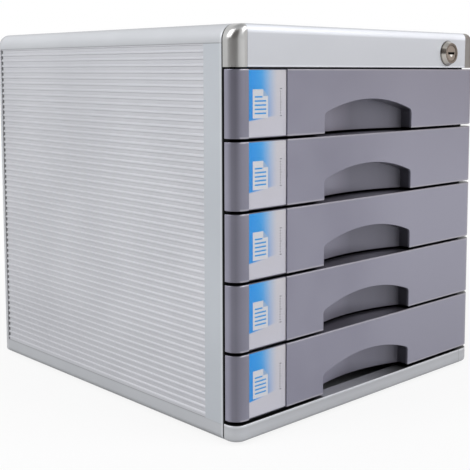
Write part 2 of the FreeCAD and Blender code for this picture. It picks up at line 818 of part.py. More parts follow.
def drawer_front(number):
    """Front plate with round plan corners, the recess, its housing and the label pocket."""
    name = "drawer_front_%d" % number
    x = ("-" + HALF, HALF)
    plate = box(name + "_plate", x, ("0", "places.front_thick"), ("0", "places.front_height"))
    upright = [("z", {"x": value(end), "y": 0.0}) for end in x]
    rounded = round_edges(name + "_corners", plate, "dims.plan_corner_radius", *upright)
    doc.recompute()
    levels = [("x", {"y": 0.0, "z": value(level)}) for level in ("0", "places.front_height")]
    eased = round_edges(name + "_eased", rounded, "dims.edge_break", *levels)
    blank = join(name + "_blank", [eased, housing_column(name + "_housing", "0")])
    pocket = box(
        name + "_pocket", ("places.label_left", "places.label_left + dims.label_width"),
        ("-dims.overrun", "dims.label_recess"),
        ("-dims.overrun", "places.front_height + dims.overrun"),
    )
    bite = "places.front_thick - dims.front_screw_bite - dims.fit_gap"
    bores = screw_bores(name, (bite, "places.front_thick + dims.overrun"))
    tools = join(name + "_tools", [finger_recess(name + "_recess"), pocket] + bores)
    front = cut(name + "_cut", blank, tools)
    doc.recompute()
    reach = value("dims.scoop_half_width") + TOLERANCE
    mouth = [
        edge_number
        for edge_number, edge in enumerate(front.Shape.Edges, start=1)
        if abs(edge.BoundBox.YMin) + abs(edge.BoundBox.YMax) < TOLERANCE
        and -reach < edge.BoundBox.XMin
        and edge.BoundBox.XMax < reach
        and edge.BoundBox.ZMax < value("dims.scoop_peak") + TOLERANCE
    ]
    lip = doc.addObject("Part::Fillet", name)
    lip.Base = front
    size = value("dims.mouth_radius")
    lip.Edges = [(edge_number, size, size) for edge_number in mouth]
    return finish(lip, name, drawer_level(number))


def drawer_tray(number):
    """Open tray with side flanges and a stop at the rear of each."""
    name = "drawer_tray_%d" % number
    outer = "places.tray_half"
    inner = outer + " - dims.tray_wall"
    depth = ("places.front_thick", "places.tray_rear")
    hold = box(name + "_hold", ("-" + outer, outer), depth, ("dims.tray_lift", "places.tray_top"))
    corners = [
        ("z", {"x": sign * value(outer), "y": value("places.tray_rear")}) for sign in (-1, 1)
    ]
    shell = round_edges(name + "_shell", hold, "dims.tray_corner_radius", *corners)
    clear = (depth[0] + " + dims.tray_wall", depth[1] + " - dims.tray_wall")
    hollow = box(
        name + "_hollow", ("-(%s)" % inner, inner), clear,
        ("dims.tray_lift + dims.tray_wall", "places.tray_top + dims.overrun"),
    )
    inner_corners = [
        ("z", {"x": sign * value(inner), "y": value(clear[1])}) for sign in (-1, 1)
    ]
    hollow_round = round_edges(
        name + "_hollow_round", hollow, "dims.tray_corner_radius - dims.tray_wall", *inner_corners
    )
    cup = cut(name + "_cup", shell, hollow_round)
    pieces = [cup]
    for side in SIGNS:
        flange = box(
            "%s_flange_%s" % (name, side), span(side, inner + " + dims.fit_gap", "places.flange_half"),
            ("places.runner_front", "places.flange_rear"),
            ("places.flange_bottom", "places.tray_top"),
        )
        stop = box(
            "%s_stop_%s" % (name, side), span(side, outer, "places.flange_half"),
            ("places.stop_front", "places.flange_rear"),
            ("places.flange_bottom", "places.tray_top + dims.stop_height"),
        )
        pieces += [flange, stop]
    solid = join(name + "_solid", pieces)
    past_wall = "places.front_thick + dims.tray_wall + dims.overrun"
    bores = screw_bores(name, ("places.front_thick - dims.overrun", past_wall))
    tools = join(name + "_tools", [housing_column(name + "_mouth", "dims.fit_gap")] + bores)
    return finish(cut(name, solid, tools), name, drawer_level(number))


def drawer_catch(number):
    """Angle on the tray's right wall, with its blade just behind the tab of the lock bar."""
    name = "drawer_catch_%d" % number
    wall = "places.tray_half"
    front = "places.tab_rear + dims.bar_gap"
    half = "dims.catch_height / 2"
    z = ("dims.catch_level - " + half, "dims.catch_level + " + half)
    blade = box(
        name + "_blade", (wall, "places.catch_tip"), (front, front + " + dims.catch_thick"), z
    )
    foot = box(
        name + "_foot", (wall, wall + " + dims.catch_foot_sheet"),
        (front, front + " + dims.catch_foot_length"), z,
    )
    return finish(join(name, [blade, foot]), name, drawer_level(number))


def label_set(number):
    """Card in the front's pocket and the clear window over it, flush with the front."""
    level = "dims.foot_height + " + drawer_level(number)
    x = (
        "places.label_left + dims.window_side_gap",
        "places.label_left + dims.label_width - dims.window_side_gap",
    )
    for kind, depth, z in (
        (
            "label_card", ("dims.label_recess - dims.card_sheet", "dims.label_recess"),
            ("dims.card_margin", "places.front_height - dims.card_margin"),
        ),
        ("label_window", ("0", "dims.window_sheet"), ("0", "places.front_height")),
    ):
        y = ["places.front_y + %s" % end for end in depth]
        sheet = box("%s_%d" % (kind, number), x, y, ["%s + %s" % (level, end) for end in z])
        PARTS.append(sheet)


def front_screws(number):
    """Two screws from inside the tray into its front."""
    name = "front_screws_%d" % number
    seat = "places.front_thick + dims.tray_wall"
    tip = "places.front_thick - dims.front_screw_bite"
    screws = [
        screw("%s_%d" % (name, index), across, height, tip, seat, seat + " + dims.screw_head_thick")
        for index, (across, height) in enumerate(front_screw_places())
    ]
    return finish(group(name, screws), name, drawer_level(number))


for drawer in range(1, DRAWER_COUNT + 1):
    drawer_front(drawer)
    drawer_tray(drawer)
    drawer_catch(drawer)
    label_set(drawer)
    front_screws(drawer)


# Lock

LOCK_X = "places.lock_x"
LOCK_Z = "places.lock_z"


def lock_bezel():
    """Conical ring on the face of the fascia."""
    cone = doc.addObject("Part::Cone", "bezel_cone")
    bind(cone, Radius1="dims.bezel_nose_radius", Radius2="dims.bezel_radius", Height="dims.bezel_stand")
    cone.Placement.Rotation = FreeCAD.Rotation(FreeCAD.Vector(1, 0, 0), -90)
    move(cone, LOCK_X, "-dims.bezel_stand", LOCK_Z)
    bore = rod(
        "bezel_bore", "dims.plug_radius + dims.turn_gap", LOCK_X,
        ("-dims.bezel_stand - dims.overrun", "dims.overrun"), LOCK_Z,
    )
    return finish(cut("lock_bezel", cone, bore), "lock_bezel")


def lock_housing():
    tube = rod("housing_tube", "dims.housing_radius", LOCK_X, ("0", "dims.housing_length"), LOCK_Z)
    bore = rod(
        "housing_bore", "dims.shank_radius + dims.turn_gap", LOCK_X,
        ("-dims.overrun", "dims.housing_length + dims.overrun"), LOCK_Z,
    )
    return finish(cut("lock_housing", tube, bore), "lock_housing")


def lock_nut():
    seat = "dims.fascia_wall"
    disc = rod("nut_disc", "dims.nut_radius", LOCK_X, (seat, seat + " + dims.nut_thick"), LOCK_Z)
    through = ("0", "dims.housing_length")
    bore = rod("nut_bore", "dims.housing_radius + dims.fit_gap", LOCK_X, through, LOCK_Z)
    return finish(cut("lock_nut", disc, bore), "lock_nut")


def lock_plug():
    """Round face with a level key slot, on a shank that runs back through the housing."""
    face = rod(
        "plug_face", "dims.plug_radius", LOCK_X,
        ("dims.plug_recess - dims.bezel_stand", "-dims.turn_gap"), LOCK_Z,
    )
    run = ("-dims.overrun", "places.cam_front")
    shank = rod("plug_shank", "dims.shank_radius", LOCK_X, run, LOCK_Z)
    slot = box(
        "plug_slot",
        (LOCK_X + " - dims.key_slot_length / 2", LOCK_X + " + dims.key_slot_length / 2"),
        ("-dims.bezel_stand", "dims.key_slot_depth - dims.bezel_stand"),
        (LOCK_Z + " - dims.key_slot_height / 2", LOCK_Z + " + dims.key_slot_height / 2"),
    )
    return finish(cut("lock_plug", join("plug_solid", [face, shank]), slot), "lock_plug")


def lock_cam():
    """Arm from the shank to the pin, half a quarter turn below level."""
    depth = ("places.cam_front", "places.cam_rear")
    pin_x = "%s + dims.pin_throw * %.9f" % (LOCK_X, ROOT_HALF)
    pin_z = "%s - dims.pin_throw * %.9f" % (LOCK_Z, ROOT_HALF)
    boss = rod("cam_boss", "dims.cam_boss_radius", LOCK_X, depth, LOCK_Z)
    tip = rod("cam_tip", "dims.cam_tip_radius", pin_x, depth, pin_z)
    web = doc.addObject("Part::Box", "cam_web")
    bind(web, Length="dims.pin_throw", Width="dims.cam_thick", Height="2 * dims.cam_tip_radius")
    web.Placement.Rotation = FreeCAD.Rotation(FreeCAD.Vector(0, 1, 0), -CAM_START_ANGLE)
    lean = "dims.cam_tip_radius * %.9f" % ROOT_HALF
    move(web, "%s - %s" % (LOCK_X, lean), depth[0], "%s - %s" % (LOCK_Z, lean))
    end = "places.bar_back + dims.pin_proud"
    pin = rod("cam_pin", "dims.pin_radius", pin_x, ("places.cam_front", end), pin_z)
    return finish(join("lock_cam", [boss, tip, web, pin]), "lock_cam")


def lock_bar():
    """Upright strip with an arm to the lock and one tab below each drawer's catch."""
    strip_x = ("places.bar_inner", "places.bar_outer")
    depth = ("places.bar_front", "places.bar_front + dims.bar_width")
    arm_low = "places.arm_level - dims.arm_height / 2"
    arm_top = "places.arm_level + dims.arm_height / 2"
    low = "%s + places.tab_level - dims.catch_height / 2" % drawer_level(DRAWER_COUNT)
    strip = box("bar_strip", strip_x, depth, (low, arm_top))
    thin = ("places.bar_front", "places.bar_back")
    play = "dims.pin_radius + dims.slot_play"
    arm_end = "%s + dims.pin_throw * %.9f - (%s) - dims.arm_margin" % (LOCK_X, ROOT_HALF, play)
    arm = box("bar_arm", (arm_end, "places.bar_outer"), thin, (arm_low, arm_top))
    pieces = [strip, arm]
    for number in range(1, DRAWER_COUNT + 1):
        middle = "%s + places.tab_level" % drawer_level(number)
        tab = box(
            "bar_tab_%d" % number,
            ("places.tray_half + places.bar_inner - places.catch_tip", "places.bar_outer"),
            ("places.tab_front", "places.tab_rear"),
            (middle + " - dims.catch_height / 2", middle + " + dims.catch_height / 2"),
        )
        pieces.append(tab)
    slot = box(
        "bar_slot",
        (arm_end + " + dims.arm_margin", "%s + dims.pin_throw + %s" % (LOCK_X, play)),
        ("places.bar_front - dims.overrun", "places.bar_back + dims.overrun"),
        ("places.arm_level - (%s)" % play, "places.arm_level + %s" % play),
    )
    return finish(cut("lock_bar", join("bar_solid", pieces), slot), "lock_bar")


lock_bezel()
lock_housing()
lock_nut()
lock_plug()
lock_cam()
lock_bar()

doc.recompute()

# Nothing is written unless every object is sound
for item in doc.Objects:
    if "Invalid" in item.State or "Error" in item.State:
        raise RuntimeError("%s failed: %s" % (item.Label, item.State))
for item in PARTS:
    if item.Shape.isNull() or not item.Shape.isValid():
        raise RuntimeError(item.Label + " has no valid shape")

os.makedirs("parts", exist_ok=True)
for item in PARTS:
    item.Shape.exportStep("parts/%s.step" % item.Label)
    print("%-22s %2d solids %9.0f mm3" % (item.Label, len(item.Shape.Solids), item.Shape.Volume))
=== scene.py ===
import json
import math

import bmesh
import bpy
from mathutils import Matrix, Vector


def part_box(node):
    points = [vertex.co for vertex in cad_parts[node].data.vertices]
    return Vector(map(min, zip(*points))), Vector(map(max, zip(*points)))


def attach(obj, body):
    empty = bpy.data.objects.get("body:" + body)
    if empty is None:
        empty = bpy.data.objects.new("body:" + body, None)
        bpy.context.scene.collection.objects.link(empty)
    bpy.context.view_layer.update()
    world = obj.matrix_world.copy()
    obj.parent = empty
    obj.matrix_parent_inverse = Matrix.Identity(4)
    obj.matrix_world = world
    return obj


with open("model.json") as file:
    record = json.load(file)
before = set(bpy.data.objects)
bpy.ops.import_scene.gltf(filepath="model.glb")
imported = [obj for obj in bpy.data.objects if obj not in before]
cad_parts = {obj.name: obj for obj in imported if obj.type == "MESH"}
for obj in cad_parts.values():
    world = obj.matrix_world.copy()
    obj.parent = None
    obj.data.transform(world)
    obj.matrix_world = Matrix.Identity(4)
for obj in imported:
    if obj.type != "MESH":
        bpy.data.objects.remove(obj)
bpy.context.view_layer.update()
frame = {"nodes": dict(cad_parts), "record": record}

MM = 0.001
NODES = frame["nodes"]
DRAWERS = range(1, 6)

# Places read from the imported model
FRONTS = {k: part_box("drawer_front_%d" % k) for k in DRAWERS}
CARDS = {k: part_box("label_card_%d" % k) for k in DRAWERS}
BASE_LEVEL = FRONTS[5][0].z
FRONT_HEIGHT = FRONTS[5][1].z - BASE_LEVEL
PITCH = FRONTS[4][0].z - BASE_LEVEL
FRONT_Y = FRONTS[1][0].y
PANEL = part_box("left_side_panel")
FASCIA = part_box("front_fascia")
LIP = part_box("base_front_lip")
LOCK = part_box("lock_bezel")
LOCK_CENTRE = ((LOCK[0].x + LOCK[1].x) / 2, (LOCK[0].z + LOCK[1].z) / 2)
PLUG_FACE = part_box("lock_plug")[0].y
CASE_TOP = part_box("top_cover")[1].z
CASE_FRONT = PANEL[0].y

# Ribs of the side panels
RIB_PITCH = 5.135 * MM
FIRST_RIB = PANEL[1].z - 4.9 * MM
RIB_START = CASE_FRONT + 20.3 * MM

# Half widths of a finger recess: its mouth at the underside, and its housing behind the front
MOUTH_HALF = 53.0 * MM
HOUSING_HALF = 55.9 * MM

# Painted light and shade along one axis, as rows of millimetres and levels of grey. The places
# of a name that ends in TOP are past the top of the part, FASCIA_LOW past its underside, the rest
# from zero
COVER_LOW = ((2.0, 0.40), (3.6, 0.48), (6.4, 0.83), (13.8, 0.85), (14.4, 0.62))
COVER_TOP = (
    (-14.1, 0.42), (-13.6, 0.50), (-13.2, 0.88), (-9.0, 0.92),
    (-4.0, 1.05), (-1.6, 1.02), (-0.25, 0.72), (0.0, 0.72),
)
FASCIA_LOW = ((0.0, 0.03), (0.12, 1.22), (0.9, 1.22), (1.9, 0.98))
FASCIA_TOP = ((-10.0, 1.0), (-7.0, 1.02), (-5.2, 1.46), (-1.6, 1.46), (-0.2, 0.80))
FASCIA_ACROSS = ((-100.0, 1.0), (0.0, 1.02), (110.0, 1.06), (133.0, 1.11))
LIP_LOW = ((2.0, 0.60), (3.0, 0.74), (5.2, 0.98), (9.0, 1.07))
LIP_TOP = ((-2.0, 0.97), (-0.9, 1.30), (0.0, 1.30))
LIP_UNDER_RECESS = (
    (-54.5, 0.02), (-52.5, 0.95), (-20.0, 0.88), (10.0, 0.55),
    (35.0, 0.26), (52.5, 0.10), (54.5, 0.02),
)
FRONT_CORNER = (
    (-150.0, 1.05), (-149.7, 0.95), (-148.8, 0.64), (-147.0, 0.58),
    (-145.0, 0.70), (-142.5, 0.80), (-136.0, 0.95), (-130.0, 1.0),
)
RECESS_ACROSS = (
    (-55.0, 1.34), (-30.0, 1.22), (0.0, 0.64), (30.0, 0.53),
    (42.0, 0.44), (47.0, 0.35), (51.0, 0.30), (56.0, 0.27),
)
RECESS_UP = ((0.0, 1.30), (40.0, 1.30), (68.0, 1.0), (300.0, 1.0))

# Print on a label card
PAGE_PLACE = (4.6 * MM, 13.5 * MM)
PAGE_SIZE = (15.5 * MM, 21.0 * MM)
PAGE_FOLD = 5.0 * MM
INK_THICK = 0.06 * MM
OVERPRINT_THICK = 0.03 * MM
LINE_COUNT, LINE_STEP, LINE_THICK, LINE_INSET = 5, 3.0 * MM, 1.1 * MM, 2.0 * MM
LINE_SHARE, TOP_LINE_SHARE = 0.74, 0.50
TICK_COUNT, TICK_STEP, TICK_THICK, TICK_INSET = 11, 2.0 * MM, 0.55 * MM, 6.6 * MM
TICK_BASE, TICK_LONG, TICK_SHORT, TICKS_PER_LONG = 1.0 * MM, 2.1 * MM, 1.2 * MM, 5

# Dark cross of painted shade in a screw head's recess, and the painted highlight under the key
# slot
CROSS_ARM, CROSS_HALF = 1.75 * MM, 0.42 * MM
CROSS_SUNK, CROSS_PROUD = 0.3 * MM, 0.04 * MM
RIM_WIDE, RIM_DEEP, RIM_DROP = 1.9 * MM, 2.1 * MM, 1.1 * MM
RIM_PROUD, RIM_SUNK = 0.05 * MM, 0.15 * MM
RIM_STEPS = 12

# Studio. A gap is a dark opening in the room that shiny surfaces see: azimuth, half width and
# soft edge in degrees, height on the unit sphere, colour
FLOOR_REACH = 6.0
FLOOR_GLOW = 0.87
FLOOR_FADE = (0.30, 0.80)
ROOM_GAPS = (
    (203.0, 44.0, 7.0, 0.60, (0.105, 0.092, 0.085)),
    (349.0, 31.0, 2.5, 0.45, (0.310, 0.245, 0.215)),
)
SOFTBOXES = {
    "left_softbox": (-1.9, 0.3, 1.5),
    "front_softbox": (0.9, -1.9, 1.5),
}
SOFTBOX_SIDE, SOFTBOX_WATTS = 1.4, 26.0
SOFTBOX_TARGET = (0.0, 0.0, 0.15)

# Camera, in metres and degrees. The shift is small so that other views keep the object whole
CAMERA_PLACE = (-0.6014, -0.6559, 0.2746)
CAMERA_TILT, CAMERA_TURN = 84.214, -44.027
CAMERA_LENS, CAMERA_SENSOR = 72.5, 36.0
CAMERA_SHIFT = (-0.0521, -0.145)


# Node trees

class Tree:
    """Node tree written as nested calls. An input takes a socket or a plain value."""

    def __init__(self, tree):
        self.tree = tree
        tree.nodes.clear()

    def node(self, kind, inputs=None, **settings):
        made = self.tree.nodes.new("ShaderNode" + kind)
        for key, value in settings.items():
            setattr(made, key, value)
        for key, value in (inputs or {}).items():
            self.plug(made.inputs[key], value)
        return made

    def plug(self, socket, value):
        if isinstance(value, bpy.types.NodeSocket):
            self.tree.links.new(value, socket)
        elif socket.type == "RGBA" and len(value) == 3:
            socket.default_value = (*value, 1.0)
        else:
            socket.default_value = value

    def math(self, operation, a, b=None, c=None):
        inputs = {i: v for i, v in enumerate((a, b, c)) if v is not None}
        return self.node("Math", inputs, operation=operation).outputs[0]

    def product(self, a, b):
        return self.math("MULTIPLY", a, b)

    def mix(self, factor, a, b, blend="MIX"):
        made = self.node("Mix", {0: factor, 6: a, 7: b}, data_type="RGBA", blend_type=blend)
        return made.outputs[2]

    def tint(self, a, b):
        """Two colours multiplied."""
        return self.mix(1.0, a, b, "MULTIPLY")

    def blend(self, factor, a, b):
        return self.node("Mix", {0: factor, 2: a, 3: b}, data_type="FLOAT").outputs[0]

    def step(self, value, low, high, start=0.0, end=1.0):
        """Smooth step from start at low to end at high."""
        inputs = {0: value, 1: low, 2: high, 3: start, 4: end}
        return self.node("MapRange", inputs, interpolation_type="SMOOTHSTEP").outputs[0]

    def band(self, value, low, high, ease):
        """1 between low and high, easing to 0 outside them."""
        rise = self.step(value, low - ease, low)
        fall = self.step(value, high, high + ease, 1.0, 0.0)
        return self.product(rise, fall)

    def share(self, value, low, high):
        """Share of the way from low to high, held between 0 and 1."""
        return self.node("MapRange", {0: value, 1: low, 2: high}).outputs[0]

    def ramp(self, value, stops):
        """Colour that follows a number through (place, colour) stops."""
        low, high = stops[0][0], stops[-1][0]
        made = self.node("ValToRGB", {0: self.share(value, low, high)})
        bar = made.color_ramp.elements
        while len(bar) < len(stops):
            bar.new(0.5)
        for element, (place, colour) in zip(bar, stops):
            element.position = (place - low) / (high - low)
            element.color = (*colour, 1.0)
        return made.outputs[0]

    def place(self):
        """Object coordinates in metres, and the three of them apart."""
        vector = self.node("TexCoord").outputs["Object"]
        split = self.node("SeparateXYZ", {0: vector})
        return vector, split.outputs[0], split.outputs[1], split.outputs[2]

    def length(self, across, up):
        """Length of a vector in a plane."""
        squares = [self.math("POWER", side, 2.0) for side in (across, up)]
        return self.math("SQRT", self.math("ADD", *squares))

    def noise(self, vector, scale, detail=2.0, rough=0.5, stretch=(1.0, 1.0, 1.0)):
        moved = self.node("Mapping", {"Vector": vector, "Scale": stretch}).outputs[0]
        inputs = {"Vector": moved, "Scale": scale, "Detail": detail, "Roughness": rough}
        return self.node("TexNoise", inputs).outputs[0]

    def weigh(self, a, share_a, b, share_b):
        """Sum of two numbers, each times its share."""
        return self.math("ADD", self.product(a, share_a), self.product(b, share_b))

    def bump(self, height, strength, distance):
        inputs = {"Height": height, "Strength": strength, "Distance": distance}
        return self.node("Bump", inputs).outputs[0]


def new_material(name):
    material = bpy.data.materials.new(name)
    material.use_nodes = True
    return material, Tree(material.node_tree)


def surface(t, colour, roughness, normal, **sockets):
    inputs = {"Base Color": colour, "Roughness": roughness, "Normal": normal}
    shader = t.node("BsdfPrincipled", {**inputs, **sockets})
    t.node("OutputMaterial", {0: shader.outputs[0]})


# Rules of painted light and shade

def grey(level):
    return (level, level, level)


def levels(rows, base=0.0):
    """Ramp stops from rows of millimetres past a base and levels of grey."""
    return [(base + offset * MM, grey(level)) for offset, level in rows]


def case_edge(t, y, paint):
    """Painted highlight along the front edge of the case, and painted shade, nearly black, on the
    end faces inside the gaps.
    """
    # Painted highlight along the front edge of the case
    front_highlight = t.band(y, CASE_FRONT + 1.0 * MM, CASE_FRONT + 2.2 * MM, 0.6 * MM)
    paint = t.mix(t.product(front_highlight, 0.45), paint, grey(1.15))
    # Painted shade: the end faces inside the gaps are painted nearly black
    end = t.step(y, CASE_FRONT + 1.0 * MM, CASE_FRONT + 0.5 * MM)
    return t.mix(end, paint, grey(0.01))


def cover_tone(t, x, y, z):
    """Shade of the covers over their rounded edges."""
    stops = levels(COVER_LOW) + levels(COVER_TOP, CASE_TOP)
    return case_edge(t, y, t.ramp(z, stops))


def panel_tone(t, x, y, z):
    """Painted highlights on the rib crests over a darker ground, fainter towards the rear,
    painted shade in notches at the rear ends, and the ground shaded darker towards the bottom.
    """
    turns = t.math("DIVIDE", t.math("SUBTRACT", FIRST_RIB, z), RIB_PITCH)
    phase = t.math("FRACT", t.math("ADD", turns, 0.5))
    phase = t.math("ABSOLUTE", t.math("SUBTRACT", phase, 0.5))
    rear, low_edge, high_edge = PANEL[1].y, PANEL[0].z, PANEL[1].z
    near = t.step(y, rear - 60.0 * MM, RIB_START)
    # Painted highlight along each rib crest
    rib_highlight = t.product(t.step(phase, 0.26, 0.06), t.blend(near, 0.35, 1.0))
    # Painted shade: the panel darker towards the bottom
    up = t.step(z, 15.0 * MM, 110.0 * MM)
    ribbed = t.blend(rib_highlight, t.blend(up, 0.89, 0.94), t.blend(up, 1.07, 1.08))
    # Painted shade of the rear gap, in notches between the rib ends
    rib_end = t.step(y, rear - 2.4 * MM, rear - 0.8 * MM)
    notch_shade = t.product(t.step(phase, 0.10, 0.28), rib_end)
    ribbed = t.blend(notch_shade, ribbed, 0.16)
    at_ribs = t.step(y, RIB_START - 0.5 * MM, RIB_START + 0.5 * MM)
    shade = t.blend(at_ribs, t.blend(up, 0.85, 0.88), ribbed)
    foot = t.product(t.step(z, low_edge + 0.7 * MM, low_edge + 0.1 * MM), at_ribs)
    head = t.step(z, high_edge - 0.5 * MM, high_edge - 0.1 * MM)
    shade = t.blend(t.math("MAXIMUM", foot, head), shade, 0.42)
    level = t.node("CombineColor", {0: shade, 1: shade, 2: shade}).outputs[0]
    cast = t.mix(at_ribs, (0.97, 1.0, 1.02), (1.0, 0.985, 0.995))
    return case_edge(t, y, t.tint(level, cast))


def fascia_tone(t, x, y, z):
    """Painted highlights on the rounded top edge and the lower edge, painted shade on the
    underside, and painted light growing towards the right end.
    """
    stops = levels(FASCIA_LOW, FASCIA[0].z) + levels(FASCIA_TOP, FASCIA[1].z)
    return t.tint(t.ramp(z, stops), t.ramp(x, levels(FASCIA_ACROSS)))


def lip_tone(t, x, y, z):
    """Shade down the lip, its seam, and its flat top, which shows only in the lowest recess."""
    high = LIP[1].z
    tone = t.ramp(z, levels(LIP_LOW) + levels(LIP_TOP, high))
    seam = t.band(x, 133.0 * MM, 133.5 * MM, 0.5 * MM)
    tone = t.mix(t.product(seam, 0.5), tone, grey(0.60))
    flat = t.step(z, high - 0.10 * MM, high - 0.04 * MM)
    behind = t.step(y, LIP[0].y + 0.7 * MM, LIP[0].y + 1.0 * MM)
    return t.mix(t.product(flat, behind), tone, t.ramp(x, levels(LIP_UNDER_RECESS)))


# Materials

def brushed_metal(name, colour, dark, along, roughness=0.42, metallic=0.45, tone_rule=None):
    """Satin silver sheet with faint lines that run along one axis, and a rule that paints light
    and shade into its colour.
    """
    material, t = new_material(name)
    vector, x, y, z = t.place()
    stretch = [1.0, 1.0, 1.0]
    stretch["xyz".index(along)] = 0.02
    lines = t.noise(vector, 5200.0, 3.0, 0.6, stretch)
    cloud = t.noise(vector, 14.0, 3.0, 0.5)
    grain = t.noise(vector, 3600.0, 1.0, 0.5)
    paint = t.mix(t.step(t.weigh(lines, 0.35, cloud, 0.65), 0.30, 0.72), dark, colour)
    # Painted light and shade from the tone rule
    if tone_rule:
        paint = t.tint(paint, tone_rule(t, x, y, z))
    rough = t.blend(lines, roughness - 0.06, roughness + 0.08)
    height = t.weigh(lines, 0.7, grain, 0.3)
    surface(t, paint, rough, t.bump(height, 0.12, 0.06 * MM), Metallic=metallic)
    return material


def moulded_plastic(name, colour, dark, roughness, bump=0.25, grain_scale=2600.0, metallic=0.0):
    """Moulded plastic with a fine grain and a faint cloud of tone."""
    material, t = new_material(name)
    vector, _, _, _ = t.place()
    grain = t.noise(vector, grain_scale, 2.0, 0.6)
    cloud = t.noise(vector, 22.0, 2.0, 0.5)
    paint = t.mix(t.step(t.weigh(grain, 0.4, cloud, 0.6), 0.32, 0.68), dark, colour)
    rough = t.blend(grain, roughness - 0.05, roughness + 0.08)
    surface(t, paint, rough, t.bump(grain, bump, 0.05 * MM), Metallic=metallic)
    return material


def level_in_front(t, z):
    """Height above the underside of whichever drawer front the point is on."""
    turns = t.math("DIVIDE", t.math("SUBTRACT", z, BASE_LEVEL), PITCH)
    return t.product(t.math("FRACT", turns), PITCH)


def drawer_front_material():
    """Grey metallic paint with painted highlights along the long edges, a painted reflection at
    the rounded corners, painted light towards the right, and painted shade in the finger recess
    and on the faces in the gaps between drawers.
    """
    material, t = new_material("drawer_front_paint")
    vector, x, y, z = t.place()
    height, across = level_in_front(t, z), t.math("ABSOLUTE", x)

    flake = t.noise(vector, 5200.0, 2.0, 0.7)
    cloud = t.noise(vector, 16.0, 2.0, 0.5)
    fleck = t.step(t.weigh(flake, 0.5, cloud, 0.5), 0.3, 0.7)
    paint = t.mix(fleck, (0.236, 0.231, 0.294), (0.292, 0.287, 0.355))
    # Painted light: the right side of the fronts lighter, more so on the upper drawers
    right = t.mix(t.step(z, 0.02, 0.28), (0.296, 0.291, 0.358), (0.338, 0.333, 0.409))
    paint = t.mix(t.product(t.step(x, -0.03, 0.06), 0.9), paint, right)
    # Painted reflection: a dark band with a light edge round the rounded corners
    paint = t.tint(paint, t.ramp(x, levels(FRONT_CORNER)))

    # Painted highlight along the top and bottom edges of each front
    low_edge = t.step(height, 1.9 * MM, 0.8 * MM)
    high_edge = t.step(height, FRONT_HEIGHT - 1.6 * MM, FRONT_HEIGHT - 0.6 * MM)
    skin = t.step(y, FRONT_Y + 1.4 * MM, FRONT_Y + 0.8 * MM)
    edge_highlight = t.product(t.math("MAXIMUM", low_edge, high_edge), t.product(skin, 0.75))
    paint = t.mix(edge_highlight, paint, (0.42, 0.41, 0.46))

    # Painted shade in the finger recess, lighter at its left and in the lowest drawer's recess
    deep = t.step(y, FRONT_Y + 0.6 * MM, FRONT_Y + 3.0 * MM)
    inside = t.product(deep, t.step(across, HOUSING_HALF + 0.7 * MM, HOUSING_HALF))
    shaded = t.tint(paint, t.ramp(x, levels(RECESS_ACROSS)))
    paint = t.mix(inside, paint, t.tint(shaded, t.ramp(z, levels(RECESS_UP))))

    # Painted shade: faces in the gaps between drawers dark, nearly black outside the finger
    # recess
    underside = t.step(height, 0.3 * MM, 0.1 * MM)
    topside = t.step(height, FRONT_HEIGHT - 0.3 * MM, FRONT_HEIGHT - 0.1 * MM)
    behind = t.step(y, FRONT_Y + 0.8 * MM, FRONT_Y + 1.2 * MM)
    gap_shade = t.product(t.math("MAXIMUM", underside, topside), behind)
    deep_gap_shade = t.product(gap_shade, t.step(across, MOUTH_HALF, MOUTH_HALF + 2.0 * MM))
    paint = t.mix(gap_shade, paint, (0.085, 0.080, 0.100))
    paint = t.mix(deep_gap_shade, paint, (0.012, 0.012, 0.016))

    surface(t, paint, t.blend(flake, 0.26, 0.36), t.bump(flake, 0.10, 0.04 * MM), Metallic=0.55)
    return material


def chrome_material(name, colour, roughness):
    """Bright plating with the faintest ripple and dulled specks."""
    material, t = new_material(name)
    vector, _, _, _ = t.place()
    ripple = t.noise(vector, 160.0, 2.0, 0.5)
    specks = t.noise(vector, 2400.0, 2.0, 0.6)
    rough = t.blend(t.step(specks, 0.55, 0.75), roughness, roughness + 0.10)
    paint = t.mix(ripple, tuple(0.93 * c for c in colour), colour)
    surface(t, paint, rough, t.bump(ripple, 0.05, 0.2 * MM), Metallic=1.0)
    return material


def lock_radius(t, x, z):
    """Distance from the axis of the lock."""
    across = t.math("SUBTRACT", x, LOCK_CENTRE[0])
    up = t.math("SUBTRACT", z, LOCK_CENTRE[1])
    return t.length(across, up)


def turned_metal(name, colour, dark, roughness=0.25, face=None):
    """Metal with fine rings round the lock's axis. With a face, dark at its rim, and nearly black
    behind it as painted shade in the key slot.
    """
    material, t = new_material(name)
    _, x, y, z = t.place()
    radius = lock_radius(t, x, z)
    wave = t.math("SINE", t.product(radius, 2.0 * math.pi / (0.35 * MM)))
    rings = t.math("MULTIPLY_ADD", wave, 0.5, 0.5)
    paint = t.mix(rings, dark, colour)
    if face is not None:
        seam = t.step(radius, 6.2 * MM, 6.8 * MM)
        paint = t.mix(t.product(seam, 0.75), paint, (0.05, 0.04, 0.035))
        # Painted shade behind the face of the plug, in the key slot
        slot_shade = t.step(y, face + 0.2 * MM, face + 0.5 * MM)
        paint = t.mix(slot_shade, paint, grey(0.012))
    rough = t.blend(rings, roughness, roughness + 0.12)
    surface(t, paint, rough, t.bump(rings, 0.12, 0.03 * MM), Metallic=1.0)
    return material


